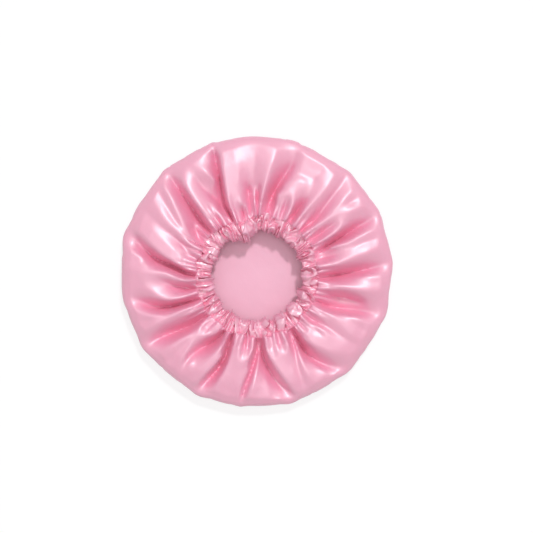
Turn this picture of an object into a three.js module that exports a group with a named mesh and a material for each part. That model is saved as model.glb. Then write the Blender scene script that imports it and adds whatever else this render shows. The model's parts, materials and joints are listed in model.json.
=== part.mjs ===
// A satin hair bonnet, turned with its crown down and its gathered opening up, in millimetres, +Z up.
// One circle of satin makes the flat crown, rolls over at the rim and comes back as a puffed skirt
// of radial folds. The skirt's gathered edge is sewn into the mouth of a folded satin strip, the
// casing, and a loop of elastic runs inside the casing and ruches it.
import * as THREE from "three";

// The bonnet as a whole
const bonnetDiameter = 350;
const openingDiameter = 121;
const puffHeight = 45;

// The satin and the thread
const satinThickness = 0.35;
const threadDiameter = 0.4;

// Clearance between cloth, elastic and thread where they lie on each other
const layClearance = 0.3;

// The crown and the rolled rim
const rimRoll = 27;
const rimTopHeight = 30;
const rimScallop = 2;

// The skirt and its folds, and the room from its gathered edge to the elastic
const gatheredEdgeRoom = 1.85;
const gatherRunOut = 1.2;

// The casing, a strip folded along the opening, with its stitched mouth outwards of the elastic
const casingSeamDepth = 6.35;
const mouthHeight = 29;
const casingDrop = 4;
const openingShiftX = 2;
const openingShiftY = -5;
const lobeDepth = 7;
const rucheHeight = 1.5;
const rucheScallop = 1.4;
const rucheCount = 52;
const stitchRowInset = 1.1;

// The elastic and the lap that joins its ends
const elasticWidth = 12;
const elasticThickness = 1.1;
const lapLength = 18;
const lapRampLength = 12;
const lapStitchCount = 9;
const lapStitchInset = 2;

// The skirt's folds, each given from the valley before it. The valley's places are in degrees from
// +X towards +Y, at the rim and then on the four rings inwards of it. Floor and crest are the
// heights of the valley and of the fold's top on those four rings, in hundredths of the puff.
// A fold's lean moves its top from its middle towards the next valley.
const skirtFolds = [
  { valley: [4, 2.5, 1, 0, -1.5], floor: [53, 43, 35, 36], crest: [82, 93, 95, 91], lean: 0 },
  { valley: [25, 24.5, 25, 23, 22], floor: [51, 44, 40, 40], crest: [82, 93, 93, 90], lean: 0 },
  { valley: [46, 46.5, 45, 44.5, 45.5], floor: [69, 71, 60, 54], crest: [84, 93, 95, 90], lean: 0 },
  { valley: [57, 57.5, 58, 58, 59], floor: [78, 84, 67, 52], crest: [75, 87, 91, 86], lean: 0 },
  { valley: [72, 72, 74.5, 77.5, 80.5], floor: [57, 47, 38, 35], crest: [82, 93, 95, 88], lean: 0 },
  { valley: [93, 92, 92.5, 94, 96], floor: [66, 62, 60, 60], crest: [83, 91, 93, 88], lean: 0.15 },
  { valley: [110, 110, 112, 114, 115], floor: [50, 46, 35, 36], crest: [81, 88, 91, 92], lean: 0.12 },
  { valley: [132, 132, 133.5, 135, 136.5], floor: [52, 46, 36, 37], crest: [83, 92, 94, 90], lean: 0.05 },
  { valley: [163, 167.5, 171.5, 174.5, 177.5], floor: [51, 39, 38, 42], crest: [84, 92, 94, 90], lean: 0.1 },
  { valley: [188, 187.5, 187, 188.5, 189.5], floor: [78, 86, 67, 50], crest: [72, 88, 90, 88], lean: 0 },
  { valley: [193, 195.5, 199, 200.5, 201.5], floor: [57, 40, 39, 35], crest: [84, 93, 95, 91], lean: 0 },
  { valley: [214, 213.5, 215, 217, 218], floor: [51, 38, 36, 38], crest: [86, 91, 93, 86], lean: 0 },
  { valley: [232, 232.5, 233.5, 236.5, 239], floor: [80, 66, 40, 45], crest: [84, 93, 93, 84], lean: 0 },
  { valley: [245, 245.5, 249, 249, 248.5], floor: [51, 51, 45, 46], crest: [79, 89, 95, 91], lean: -0.05 },
  { valley: [264, 264, 267.5, 269.5, 271], floor: [66, 66, 50, 37], crest: [84, 75, 48, 39], lean: 0 },
  { valley: [284, 282, 278, 275.5, 275], floor: [53, 42, 38, 37], crest: [86, 94, 95, 91], lean: -0.05 },
  { valley: [312, 308, 304, 302, 302], floor: [56, 49, 35, 36], crest: [86, 94, 95, 89], lean: 0 },
  { valley: [324, 324, 324.5, 323, 321.5], floor: [79, 86, 80, 66], crest: [88, 93, 95, 97], lean: 0 },
  { valley: [341, 340.5, 340.5, 338, 338], floor: [52, 39, 35, 36], crest: [86, 93, 95, 94], lean: 0.05 },
];

// The lobe, where the lapped stretch of elastic bows into the opening: its place and its spread,
// as shares of a full turn
const lobePlaceShare = 0.298;
const lobeSpreadShare = 0.024;

// A fold's section from one valley to the next: place across the fold, and lift from valley to crest
const foldPlaceShares = [0, 0.24, 0.52, 0.8];
const foldLiftShares = [0, 0.74, 1, 0.7];

// The four rings of the skirt between the rim's top and the casing's mouth, as shares of the way,
// and one more on the rim's shoulder, which has a share of the first ring's lift and sink
const skirtRingShares = [0.2, 0.43, 0.68, 0.88];
const shoulderPlaceShare = 0.09;
const shoulderLiftShare = 0.55;

// The rim roll's rings, as shares of the turn from lying flat to leaning inwards
const rimRingShares = [0.34, 0.62, 0.82, 1];

// How high each ruche of the casing stands, as a share of the tallest, repeated round the ring
const rucheHeightShares = [1, 0.62, 0.86, 0.5, 0.94, 0.72, 0.58];

// Rows of the casing's leaf, as shares of its width from the opening's edge to the mouth,
// and how freely each row ruches
const leafRowShares = [0, 0.45, 1];
const leafRucheShares = [0.75, 1, 0.16];

const FULL_TURN = 2 * Math.PI;
const THREAD_SIDES = 5;

const bonnetRadius = bonnetDiameter / 2;
const openingRadius = openingDiameter / 2;
const crownFlatRadius = bonnetRadius - rimRoll;
const halfSatin = satinThickness / 2;
const threadRadius = threadDiameter / 2;
const casingColumns = 2 * rucheCount;

// The elastic lies between these insets from the opening's edge, and the casing reaches past it.
const elasticInnerInset = satinThickness + layClearance;
const elasticOuterInset = elasticInnerInset + elasticWidth;
const elasticMiddleInset = (elasticInnerInset + elasticOuterInset) / 2;
const casingWidth = elasticOuterInset + casingSeamDepth;

// The casing's middle line runs down a shallow cone from the mouth to the opening's edge.
const casingRun = Math.sqrt(casingWidth * casingWidth - casingDrop * casingDrop);
const coneRadial = casingRun / casingWidth;
const coneRise = casingDrop / casingWidth;

// A point at a turn round the bonnet. The middle of the turn moves with centring from the crown's
// centre, at 0, to the opening's centre, at 1.
function atTurn(radius, turn, height, centring) {
  return new THREE.Vector3(
    radius * Math.cos(turn * FULL_TURN) + centring * openingShiftX,
    radius * Math.sin(turn * FULL_TURN) + centring * openingShiftY,
    height,
  );
}

// How far the casing bows in at a turn: 1 at the middle of the lobe and 0 away from it
function lobeShare(turn) {
  const away = ((turn - lobePlaceShare + 1.5) % 1) - 0.5;
  return Math.exp(-((away / lobeSpreadShare) ** 2));
}

// The casing's section: inset is the distance from the opening's edge along the cone, and lift the
// distance above the cone's middle line.
function casingRadius(inset, lift, turn) {
  return openingRadius + inset * coneRadial - lift * coneRise - lobeDepth * lobeShare(turn);
}

function casingHeight(inset, lift) {
  return mouthHeight - casingDrop + inset * coneRise + lift * coneRadial;
}

function casingPlace(inset, lift, turn) {
  return atTurn(casingRadius(inset, lift, turn), turn, casingHeight(inset, lift), 1);
}

function satin(color) {
  return new THREE.MeshStandardMaterial({ color, roughness: 0.32, metalness: 0 });
}

function thread(color) {
  return new THREE.MeshStandardMaterial({ color, roughness: 0.55, metalness: 0 });
}

const shellSatin = satin(0xf0a3ba);
const casingSatin = satin(0xee9fb6);
const knittedElastic = new THREE.MeshStandardMaterial({ color: 0xf6f1ee, roughness: 0.9, metalness: 0 });
const rowThread = thread(0xeb93ae);
const lapThread = thread(0xf4eef0);

// A BufferGeometry from an array of points and an array of point numbers, three to a triangle
function geometryOf(points, triangles) {
  const geometry = new THREE.BufferGeometry().setFromPoints(points);
  geometry.setIndex(triangles);
  geometry.computeVertexNormals();
  return geometry;
}

function namedMesh(name, geometry, material) {
  const mesh = new THREE.Mesh(geometry, material);
  mesh.name = name;
  return mesh;
}

// Joins equal loops of points, each the edge of one cross-section, into a skin. An open skin gets
// a flat cap at each end. A loop round thin cloth comes back on the inner face from the side given
// as innerSide, and there the skin creases as it does on the outer face.
function sweep(loops, closed, innerSide = Infinity) {
  const sides = loops[0].length;
  const points = loops.flat();
  const triangles = [];
  const steps = closed ? loops.length : loops.length - 1;
  for (let step = 0; step < steps; step += 1) {
    const near = step * sides;
    const far = ((step + 1) % loops.length) * sides;
    for (let side = 0; side < sides; side += 1) {
      const next = (side + 1) % sides;
      if (side < innerSide) {
        triangles.push(near + side, far + side, far + next);
        triangles.push(near + side, far + next, near + next);
      } else {
        triangles.push(near + side, far + side, near + next);
        triangles.push(far + side, far + next, near + next);
      }
    }
  }
  if (!closed) {
    const last = (loops.length - 1) * sides;
    for (let side = 1; side < sides - 1; side += 1) {
      triangles.push(0, side, side + 1);
      triangles.push(last, last + side + 1, last + side);
    }
  }
  return geometryOf(points, triangles);
}

// The fold columns: each has its places across the fold and its lift, and from them a turn on
// every ring and its heights on the skirt's rings.
function foldColumns() {
  const between = THREE.MathUtils.lerp;
  return skirtFolds.flatMap((fold, number) => {
    const last = number === skirtFolds.length - 1;
    const next = last ? skirtFolds[0] : skirtFolds[number + 1];
    return foldPlaceShares.map((middlePlace, part) => {
      const place = middlePlace + 4 * fold.lean * middlePlace * (1 - middlePlace);
      const lift = foldLiftShares[part];
      return {
        lift,
        turns: fold.valley.map((degrees, station) =>
          between(degrees, next.valley[station] + (last ? 360 : 0), place) / 360,
        ),
        heights: fold.crest.map((crest, station) => {
          const floor = between(fold.floor[station], next.floor[station], place);
          return (puffHeight * between(floor, crest, lift)) / 100;
        }),
      };
    });
  });
}

// The middle of the satin, ring by ring from the crown's flat edge to the gathered edge
function shellRings(columns) {
  const rimCentreHeight = halfSatin + rimTopHeight / 2;
  const rings = [];

  const ring = (pointOf) => rings.push(columns.map(pointOf));

  // The edge of the flat crown
  ring((column) => atTurn(crownFlatRadius, column.turns[0], halfSatin, 0));

  // The rim rolls over on an upright half ellipse. It reaches furthest out at the valleys, where
  // the cloth is drawn straight, and less where the fold takes the cloth up into its puff.
  let rimTopRadius = 0;
  rimRingShares.forEach((share) => {
    const turn = share * Math.PI * 0.75;
    const out = Math.sin(turn);
    const up = -Math.cos(turn);
    rimTopRadius = crownFlatRadius + rimRoll * out;
    ring((column) => {
      const radius = crownFlatRadius + (rimRoll - rimScallop * column.lift) * out;
      return atTurn(radius, column.turns[0], rimCentreHeight + (rimTopHeight / 2) * up, 0);
    });
  });
  const rimTop = rimCentreHeight - (rimTopHeight / 2) * Math.cos(Math.PI * 0.75);

  // The skirt runs in to the casing. Its folds turn from ring to ring: the rim's top has their
  // first places, and the casing's mouth has the same as the last ring.
  const mouthInset = casingWidth + gatherRunOut;
  const mouthTurn = (column) => column.turns[skirtRingShares.length];
  const onSkirt = (column, share, turn, height) => {
    const mouthRadius = casingRadius(mouthInset, 0, mouthTurn(column));
    return atTurn(THREE.MathUtils.lerp(rimTopRadius, mouthRadius, share), turn, height, share);
  };
  ring((column) => {
    const turn = THREE.MathUtils.lerp(column.turns[0], column.turns[1], shoulderLiftShare);
    const height = THREE.MathUtils.lerp(rimTop, column.heights[0], shoulderLiftShare);
    return onSkirt(column, shoulderPlaceShare, turn, height);
  });
  skirtRingShares.forEach((share, number) => {
    ring((column) => onSkirt(column, share, column.turns[number + 1], column.heights[number]));
  });

  // The gathered edge runs flat into the casing's mouth, between its two leaves.
  [mouthInset, elasticOuterInset + gatheredEdgeRoom].forEach((inset) => {
    ring((column) => casingPlace(inset, 0, mouthTurn(column)));
  });
  return rings;
}

// The direction that the cloth's right side faces at each point of the rings
function ringNormals(rings) {
  return rings.map((ring, row) =>
    ring.map((point, column) => {
      const before = ring[(column + ring.length - 1) % ring.length];
      const after = ring[(column + 1) % ring.length];
      const inward = rings[Math.max(row - 1, 0)][column];
      const outward = rings[Math.min(row + 1, rings.length - 1)][column];
      const along = new THREE.Vector3().subVectors(after, before);
      const across = new THREE.Vector3().subVectors(outward, inward);
      return along.cross(across).normalize();
    }),
  );
}

// The shell is the middle surface given the satin's thickness: a right side, a wrong side and the
// cut edge that joins them. Its crown stays flat, so its first ring is thickened straight down.
function satinShell() {
  const rings = shellRings(foldColumns());
  const normals = ringNormals(rings);
  normals[0].forEach((normal) => normal.set(0, 0, -1));
  const columnCount = rings[0].length;
  const points = [];
  const triangles = [];
  [1, -1].forEach((side) => {
    const first = points.length;
    const centre = new THREE.Vector3(0, 0, halfSatin - side * halfSatin);
    points.push(centre);
    rings.forEach((ring, row) => {
      ring.forEach((point, column) => {
        points.push(point.clone().addScaledVector(normals[row][column], side * halfSatin));
      });
    });
    const face = (a, b, c) => triangles.push(...(side > 0 ? [a, b, c] : [a, c, b]));
    for (let column = 0; column < columnCount; column += 1) {
      const next = (column + 1) % columnCount;
      face(first, first + 1 + next, first + 1 + column);
      for (let row = 0; row < rings.length - 1; row += 1) {
        const near = first + 1 + row * columnCount;
        const far = near + columnCount;
        face(near + column, near + next, far + next);
        face(near + column, far + next, far + column);
      }
    }
  });
  const sidePoints = points.length / 2;
  const edge = sidePoints - columnCount;
  for (let column = 0; column < columnCount; column += 1) {
    const next = (column + 1) % columnCount;
    triangles.push(edge + column, edge + next, sidePoints + edge + next);
    triangles.push(edge + column, sidePoints + edge + next, sidePoints + edge + column);
  }
  return namedMesh("satin_shell", geometryOf(points, triangles), shellSatin);
}

const elasticMiddleRadius = openingRadius + elasticMiddleInset * coneRadial;

// The elastic's ends lap on whole columns of the casing, and so does the ramp up to the lap.
const columnLength = (FULL_TURN * elasticMiddleRadius) / casingColumns;
const lapColumns = Math.max(2, Math.round(lapLength / columnLength));
const rampColumns = Math.max(1, Math.round(lapRampLength / columnLength));
const lapStartColumn = Math.round(lobePlaceShare * casingColumns);

// How far the upper end of the elastic stands over the lower one, and the casing over both
const lapStep = elasticThickness + layClearance;
const lapHeadroom = lapStep + threadDiameter + layClearance;

// How far along the ramp and lap a column of the ring is: 0 away from them and 1 on the lap
function lapShare(column) {
  const turned = (column - lapStartColumn + rampColumns + casingColumns) % casingColumns;
  const up = turned / rampColumns;
  const down = (2 * rampColumns + lapColumns - turned) / rampColumns;
  return THREE.MathUtils.clamp(Math.min(up, down), 0, 1);
}

// A ruche stands on every second column, and the cloth lies down on the columns between.
function rucheShare(column) {
  const ruche = (column % casingColumns) / 2;
  const standing = column % 2;
  return standing * rucheHeightShares[Math.floor(ruche) % rucheHeightShares.length];
}

// Half of the space between the casing's leaves: it holds the gathered edge at the mouth, and
// widens inwards so that the leaf clears the elastic's outer edge.
const mouthHalfGap = halfSatin + layClearance;
const elasticHalfGap = elasticThickness / 2 + layClearance;
const elasticOuterShare = elasticOuterInset / casingWidth;

function leafHalfGap(rowShare) {
  const widening = (elasticHalfGap - mouthHalfGap) / (1 - elasticOuterShare);
  const middleShare = leafRowShares[1];
  return mouthHalfGap + widening * (1 - Math.max(rowShare, middleShare));
}

// Inset and lift of a point on the casing's leaf: side is 1 on the upper leaf and -1 on the lower
// one, and depth is the distance under the leaf's outer face.
function leafPoint(row, side, depth, column) {
  const ruche = rucheShare(column) * leafRucheShares[row];
  const headroom = side > 0 && row < leafRowShares.length - 1 ? lapHeadroom * lapShare(column) : 0;
  const lift = side * (leafHalfGap(leafRowShares[row]) + satinThickness - depth + rucheHeight * ruche);
  const scallop = row === 0 ? rucheScallop * rucheShare(column) : 0;
  const fold = row === 0 ? depth - scallop : 0;
  return { inset: leafRowShares[row] * casingWidth + fold, lift: lift + headroom };
}

// The casing's section runs in along the lower leaf's outer face, round the fold at the opening,
// out along the upper leaf, and back on the inner faces.
function elasticCasing() {
  const rows = leafRowShares.map((share, row) => row);
  const inwards = [...rows].reverse();
  const loops = [];
  for (let column = 0; column < casingColumns; column += 1) {
    const point = (row, side, depth) => {
      const { inset, lift } = leafPoint(row, side, depth, column);
      return casingPlace(inset, lift, column / casingColumns);
    };
    loops.push([
      ...inwards.map((row) => point(row, 1, 0)),
      ...rows.map((row) => point(row, -1, 0)),
      ...inwards.map((row) => point(row, -1, satinThickness)),
      ...rows.map((row) => point(row, 1, satinThickness)),
    ]);
  }
  return namedMesh("elastic_casing", sweep(loops, true, 2 * rows.length), casingSatin);
}

// The elastic is one strip, a little longer than the ring: its last stretch climbs a ramp and laps
// over its first.
function elasticBand() {
  const loops = [];
  const columnCount = casingColumns + lapColumns;
  for (let column = 0; column <= columnCount; column += 1) {
    const climb = THREE.MathUtils.clamp((column - casingColumns + rampColumns) / rampColumns, 0, 1);
    const turn = (column + lapStartColumn) / casingColumns;
    const corner = (inset, lift) => casingPlace(inset, lapStep * climb + lift, turn);
    const half = elasticThickness / 2;
    loops.push([
      corner(elasticOuterInset, half),
      corner(elasticInnerInset, half),
      corner(elasticInnerInset, -half),
      corner(elasticOuterInset, -half),
    ]);
  }
  return namedMesh("elastic_band", sweep(loops, false), knittedElastic);
}

// Sections of a thread along a route that lies nearly level: a small polygon at each point, set
// square to the route
function threadLoops(route, closed) {
  const last = route.length - 1;
  return route.map((point, step) => {
    const before = route[closed ? (step + last) % route.length : Math.max(step - 1, 0)];
    const after = route[closed ? (step + 1) % route.length : Math.min(step + 1, last)];
    const arriving = new THREE.Vector3().subVectors(point, before).normalize();
    const along = new THREE.Vector3().subVectors(after, point).normalize().add(arriving).normalize();
    const level = new THREE.Vector3(along.y, -along.x, 0).normalize();
    const upright = new THREE.Vector3().crossVectors(level, along);
    return Array.from({ length: THREAD_SIDES }, (_, side) => {
      const angle = (side / THREAD_SIDES) * FULL_TURN;
      return point
        .clone()
        .addScaledVector(level, threadRadius * Math.cos(angle))
        .addScaledVector(upright, threadRadius * Math.sin(angle));
    });
  });
}

// A row of stitching lies along the casing's mouth on one leaf, and follows its ruches.
function casingStitching(name, side) {
  const mouthRow = leafRowShares.length - 1;
  const rowWay = stitchRowInset / ((leafRowShares[mouthRow] - leafRowShares[mouthRow - 1]) * casingWidth);
  const stand = side * (layClearance + threadRadius);
  const route = [];
  for (let column = 0; column < casingColumns; column += 1) {
    const edge = leafPoint(mouthRow, side, 0, column);
    const inner = leafPoint(mouthRow - 1, side, 0, column);
    const inset = THREE.MathUtils.lerp(edge.inset, inner.inset, rowWay);
    const lift = THREE.MathUtils.lerp(edge.lift, inner.lift, rowWay) + stand;
    route.push(casingPlace(inset, lift, column / casingColumns));
  }
  return namedMesh(name, sweep(threadLoops(route, true), true), rowThread);
}

// A zigzag of thread lies across the elastic's lap and tacks its two ends together. Each stitch
// crosses the elastic, and a short turn along the edge leads to the next.
function lapStitching() {
  const lift = lapStep + elasticThickness / 2 + layClearance + threadRadius;
  const corners = 2 * lapStitchCount;
  const route = [];
  for (let corner = 0; corner < corners; corner += 1) {
    const column = casingColumns + lapStartColumn + (lapColumns * (corner + 1)) / (corners + 1);
    const crossed = Math.floor((corner + 1) / 2);
    const inset = crossed % 2 === 0
      ? elasticInnerInset + lapStitchInset
      : elasticOuterInset - lapStitchInset;
    route.push(casingPlace(inset, lift, column / casingColumns));
  }
  return namedMesh("elastic_lap_stitching", sweep(threadLoops(route, false), false), lapThread);
}

const bonnet = new THREE.Group();
bonnet.add(satinShell());
bonnet.add(elasticCasing());
bonnet.add(elasticBand());
bonnet.add(lapStitching());
bonnet.add(casingStitching("casing_upper_stitching", 1));
bonnet.add(casingStitching("casing_lower_stitching", -1));

// The origin is the middle of the bonnet's footprint, at the level of the crown's underside.
const extent = new THREE.Box3().setFromObject(bonnet);
const middle = extent.getCenter(new THREE.Vector3());
bonnet.position.set(-middle.x, -middle.y, -extent.min.z);

const part = new THREE.Group();
part.add(bonnet);

export default part;
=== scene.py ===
# A satin hair bonnet lying on its crown, seen from above. Both cloths are laid out in the shape that
# they lie in: the shell's skirt over a map of its folds, the casing in ruches round the elastic.
# Metres throughout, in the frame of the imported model. A turn is a full turn round the bonnet, and
# pairs named as a reach say where something sets in and where it is complete.
import json
import logging
import math
from dataclasses import dataclass, field
from enum import Enum

import bmesh
import bpy
import numpy as np
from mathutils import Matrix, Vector

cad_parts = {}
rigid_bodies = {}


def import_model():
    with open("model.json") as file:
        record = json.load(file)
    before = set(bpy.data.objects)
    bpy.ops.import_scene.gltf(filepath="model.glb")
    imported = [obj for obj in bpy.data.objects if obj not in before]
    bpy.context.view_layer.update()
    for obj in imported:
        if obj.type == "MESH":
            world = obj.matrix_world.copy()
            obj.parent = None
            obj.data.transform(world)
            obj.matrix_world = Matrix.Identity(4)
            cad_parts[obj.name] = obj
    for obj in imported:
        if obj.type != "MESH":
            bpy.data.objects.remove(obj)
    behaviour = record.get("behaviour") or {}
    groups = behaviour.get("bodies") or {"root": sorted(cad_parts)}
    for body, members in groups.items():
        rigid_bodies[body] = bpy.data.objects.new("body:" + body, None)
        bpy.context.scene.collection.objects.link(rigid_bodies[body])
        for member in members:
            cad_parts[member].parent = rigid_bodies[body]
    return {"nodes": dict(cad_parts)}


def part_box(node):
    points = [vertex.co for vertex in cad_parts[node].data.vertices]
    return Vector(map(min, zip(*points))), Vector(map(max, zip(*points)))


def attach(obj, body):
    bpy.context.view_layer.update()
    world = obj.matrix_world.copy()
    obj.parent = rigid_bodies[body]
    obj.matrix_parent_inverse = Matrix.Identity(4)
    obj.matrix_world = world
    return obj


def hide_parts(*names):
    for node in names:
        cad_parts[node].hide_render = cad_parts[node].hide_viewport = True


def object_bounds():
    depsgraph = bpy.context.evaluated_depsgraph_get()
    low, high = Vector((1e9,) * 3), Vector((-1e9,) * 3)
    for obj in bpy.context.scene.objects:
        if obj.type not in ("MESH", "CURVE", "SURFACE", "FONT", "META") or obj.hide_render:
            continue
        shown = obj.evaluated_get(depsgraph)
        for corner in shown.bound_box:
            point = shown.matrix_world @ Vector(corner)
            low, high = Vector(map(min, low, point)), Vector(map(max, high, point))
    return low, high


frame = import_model()
CAD_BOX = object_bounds()

LOG = logging.getLogger("bonnet")
MM = 0.001
SAME_PLACE = 0.0001 * MM
SHORTEST = 1e-12
FULL_TURN = 2 * math.pi

Grid = np.ndarray
Colour = tuple[float, float, float]
Reach = tuple[float, float]


# Curves and grids


def eased(share: Grid) -> Grid:
    """A share from 0 to 1 that starts and ends gently: half of one minus the cosine of a half turn."""
    return (1 - np.cos(np.pi * np.clip(share, 0, 1))) / 2


def ramp(value: Grid, start: float, end: float) -> Grid:
    """How far value is on its way from start to end, eased, from 0 to 1."""
    return eased((value - start) / (end - start))


@dataclass(frozen=True)
class Noise:
    """A smooth random wave round the bonnet: whole-numbered sines with random phase and height.

    Attributes:
        seed: picks the phases and heights.
        lowest: fewest waves in a turn.
        highest: most waves in a turn.
        size: how high the waves are, as their spread.
    """

    seed: int
    lowest: int
    highest: int
    size: float = 1.0

    def at(self, turns: Grid) -> Grid:
        """The wave's height at each place, given in turns."""
        random = np.random.default_rng(self.seed)
        waves = np.arange(self.lowest, self.highest + 1)
        phases = random.uniform(0, FULL_TURN, waves.size)
        heights = random.normal(0, self.size, waves.size) * math.sqrt(2 / waves.size)
        return (np.sin(FULL_TURN * np.asarray(turns)[..., None] * waves + phases) * heights).sum(-1)


def evenly(count: int, first: Grid, second: Grid) -> tuple[Grid, Grid]:
    """The two coordinates of a path, read at evenly spaced places along it."""
    way = np.concatenate([[0], np.cumsum(np.hypot(np.diff(first), np.diff(second)))])
    even = np.linspace(0, way[-1], count)
    return np.interp(even, way, first), np.interp(even, way, second)


def smoothed(grid: Grid) -> Grid:
    """Draws each point half way to the middle of its four neighbours, but for the end rows.

    Args:
        grid: points, as rows by columns by 3, closed along the columns.

    Returns:
        The smoother grid.
    """
    sides = (np.roll(grid, 1, axis=1) + np.roll(grid, -1, axis=1))[1:-1] / 2
    ends = (grid[:-2] + grid[2:]) / 2
    points = grid.copy()
    points[1:-1] += ((sides + ends) / 2 - grid[1:-1]) / 2
    return points


def unit(vectors: Grid) -> Grid:
    """Vectors of length 1 in the same directions, along the last axis."""
    return vectors / np.maximum(np.linalg.norm(vectors, axis=-1, keepdims=True), SHORTEST)


def facing(grid: Grid) -> Grid:
    """Unit normals of a grid closed along its columns: along the columns crossed with along the rows."""
    along = np.roll(grid, -1, axis=1) - np.roll(grid, 1, axis=1)
    return unit(np.cross(along, np.gradient(grid, axis=0)))


def linked(name: str, data: bpy.types.ID) -> bpy.types.Object:
    """Puts an object of a mesh, a lamp or a camera into the scene."""
    made = bpy.data.objects.new(name, data)
    bpy.context.scene.collection.objects.link(made)
    return made


def mesh_of(name: str, points: Grid, quads: Grid, sides: Grid | None = None) -> bpy.types.Mesh:
    """A smooth-shaded mesh.

    Args:
        name: name of the mesh.
        points: its points, count by 3.
        quads: point numbers of its faces, count by 4.
        sides: number of each face's material, or nothing for the first.

    Returns:
        The mesh.
    """
    mesh = bpy.data.meshes.new(name)
    mesh.vertices.add(len(points))
    mesh.vertices.foreach_set("co", points.ravel())
    mesh.loops.add(quads.size)
    mesh.loops.foreach_set("vertex_index", quads.ravel())
    mesh.polygons.add(len(quads))
    mesh.polygons.foreach_set("loop_start", np.arange(len(quads)) * 4)
    if sides is not None:
        mesh.polygons.foreach_set("material_index", sides)
    mesh.polygons.foreach_set("use_smooth", np.ones(len(quads), bool))
    mesh.update(calc_edges=True)
    return mesh


# Cloth


class Face(Enum):
    """Which face of the cloth a material dresses, by its place in the piece's list of materials."""

    RIGHT = 0
    WRONG = 1


@dataclass
class Sheet:
    """A sheet of cloth with its thickness, made from the grid of its middle surface.

    The right side is the grid moved out along its normals by half the thickness, the wrong side the
    grid moved in by the same, and the cut edges join them.

    Attributes:
        name: name of the piece.
        grid: middle surface, rows by columns by 3, closed along the columns.
        thickness: thickness of the cloth.
        pattern: place of each point in the flat cloth, rows by columns + 1 by 2.
        pole: True where the first row is a single point, which has no cut edge.
        sharp_angle: bend of the surface from which it is shaded as an edge, such as a cut edge's.
    """

    name: str
    grid: Grid
    thickness: float
    pattern: Grid
    pole: bool = False
    sharp_angle: float = math.radians(60)

    def build(self) -> bpy.types.Object:
        """Makes the closed mesh, right side first, and links its object to the scene."""
        rows, columns = self.grid.shape[:2]
        normals = facing(self.grid)
        if self.pole:
            normals[0] = normals[1].mean(axis=0)
        half = self.thickness / 2
        layers = [self.grid + half * normals, self.grid - half * normals]
        points = np.concatenate([layer.reshape(-1, 3) for layer in layers])
        index = np.arange(2 * rows * columns).reshape(2, rows, columns)
        after = np.roll(index, -1, axis=2)
        right = np.stack([index[0, :-1], after[0, :-1], after[0, 1:], index[0, 1:]], -1)
        wrong = np.stack([index[1, :-1], index[1, 1:], after[1, 1:], after[1, :-1]], -1)
        edges = [np.stack([index[0, -1], after[0, -1], after[1, -1], index[1, -1]], -1)]
        if not self.pole:
            edges.append(np.stack([index[0, 0], index[1, 0], after[1, 0], after[0, 0]], -1))
        quads = np.concatenate([part.reshape(-1, 4) for part in (right, wrong, *edges)])
        sides = np.full(len(quads), Face.RIGHT.value)
        sides[right.size // 4:] = Face.WRONG.value
        mesh = mesh_of(self.name, points, quads, sides)
        mesh.uv_layers.new(name="cloth").data.foreach_set("uv", self._places(quads).ravel())
        mesh.validate()
        if self.pole:
            self._close_pole(mesh)
        mesh.set_sharp_from_angle(angle=self.sharp_angle)
        return linked(self.name, mesh)

    def _places(self, quads: Grid) -> Grid:
        """Place of each face's corners in the flat cloth, where the last column meets the first."""
        rows, columns = self.grid.shape[:2]
        row, column = quads // columns % rows, quads % columns
        wraps = (column == 0) & (column.max(axis=1) == columns - 1)[:, None]
        return self.pattern[row, np.where(wraps, columns, column)]

    @staticmethod
    def _close_pole(mesh: bpy.types.Mesh) -> None:
        """Joins the points that lie on one another at the middle of the first row."""
        work = bmesh.new()
        work.from_mesh(mesh)
        bmesh.ops.remove_doubles(work, verts=work.verts, dist=SAME_PLACE)
        work.to_mesh(mesh)
        work.free()


# The bonnet's own shapes


@dataclass(frozen=True)
class Gathers:
    """The gathers that the elastic makes all round, in the skirt and in the casing alike.

    Attributes:
        count: how many there are.
        spread: how much their widths differ; at 0.6 many are half as wide or nearly twice as wide.
        seed: picks their widths.
        roundness: how round a crest is; at 1 it is a ridge, at 2 a round bow.
        strength: how much higher or lower they stand, as a share of their height.
        strength_limits: the least and the most of that height.
        width_limits: narrowest and widest gather that the height still follows.
        width_power: how closely it follows the width.
        blending: how often a gather's height is blended with what lies beside it.
    """

    count: int = 66
    spread: float = 0.6
    seed: int = 11
    roundness: float = 1.6
    strength: Noise = Noise(23, 10, 40, 0.35)
    strength_limits: tuple[float, float] = (0.45, 1.6)
    width_limits: tuple[float, float] = (0.45, 1.35)
    width_power: float = 0.8
    blending: int = 3

    def _ends(self) -> Grid:
        """Where the gathers end, in turns from 0 to 1."""
        random = np.random.default_rng(self.seed)
        widths = np.exp(random.normal(0, self.spread, self.count))
        return np.concatenate([[0], np.cumsum(widths / widths.sum())])

    def phase(self, turns: Grid) -> Grid:
        """Number of gathers up to each place, a whole number where one ends and the next starts."""
        return np.interp(np.asarray(turns) % 1, self._ends(), np.arange(self.count + 1))

    def width(self, turns: Grid) -> Grid:
        """Width of the gather at each place, where 1 is an even one."""
        widths = np.diff(self._ends()) * self.count
        return widths[np.minimum(self.phase(turns).astype(int), self.count - 1)]

    def wave(self, phase: Grid) -> Grid:
        """1 on the round crest of each gather and 0 in the sharp crease between two."""
        away = np.abs(phase - np.floor(phase) - 0.5) * 2
        return 1 - away**self.roundness

    def ruffle(self, turns: Grid, wander: Grid | float = 0.0) -> Grid:
        """Height of the gathered cloth, from 0 in the creases to about 1 on an even gather.

        Args:
            turns: places round the bonnet.
            wander: how far the gathers are moved aside at each place, in gathers.
        """
        strength = np.clip(1 + self.strength.at(turns), *self.strength_limits)
        strength = strength * np.clip(self.width(turns), *self.width_limits) ** self.width_power
        for _ in range(self.blending):
            strength = (np.roll(strength, 1) + 2 * strength + np.roll(strength, -1)) / 4
        return self.wave(self.phase(turns) + wander) * strength


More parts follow.
